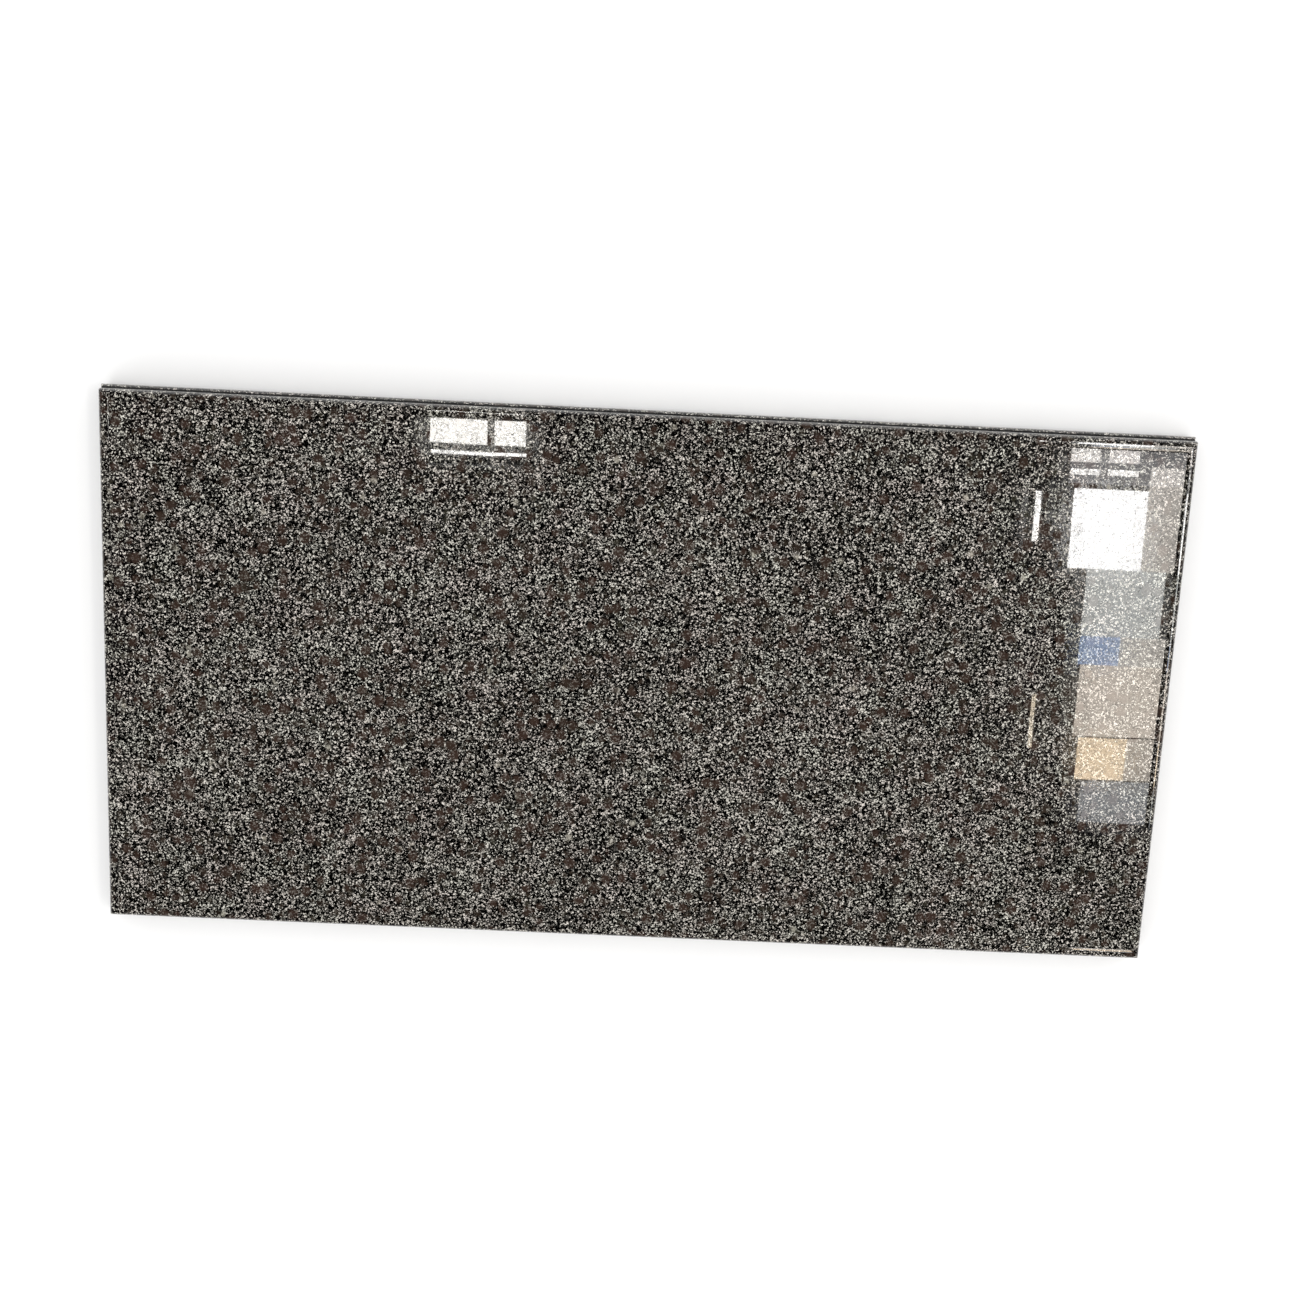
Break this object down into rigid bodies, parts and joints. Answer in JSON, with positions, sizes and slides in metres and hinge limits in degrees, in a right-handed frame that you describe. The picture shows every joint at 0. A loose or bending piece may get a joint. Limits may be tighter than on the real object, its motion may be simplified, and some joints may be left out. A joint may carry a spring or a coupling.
{
  "type": "granite slab",
  "caption": "Rectangular polished granite slab with a stepped quarter-round moulding all round, doubled at its edge by glued build-up strips with a half-round nose.",
  "frame": {"origin": "under the middle of the slab, on the surface that its build-up strips rest on", "axes": "+X along the long side, +Y across the slab, +Z out of the polished face"},
  "size_m": [1.21, 0.61, 0.0415],
  "materials": {
    "granite_slab": "mirror-polished face and moulding, sawn underside",
    "granite_strip": "polished nose, sawn inner faces and underside",
    "dark_resin": "cured dark stone adhesive"
  },
  "bodies": {
    "root": {"slab": "granite_slab", "strip_front": "granite_strip", "strip_back": "granite_strip", "strip_left": "granite_strip", "strip_right": "granite_strip", "resin_front": "dark_resin", "resin_back": "dark_resin", "resin_left": "dark_resin", "resin_right": "dark_resin"}
  },
  "joints": []
}
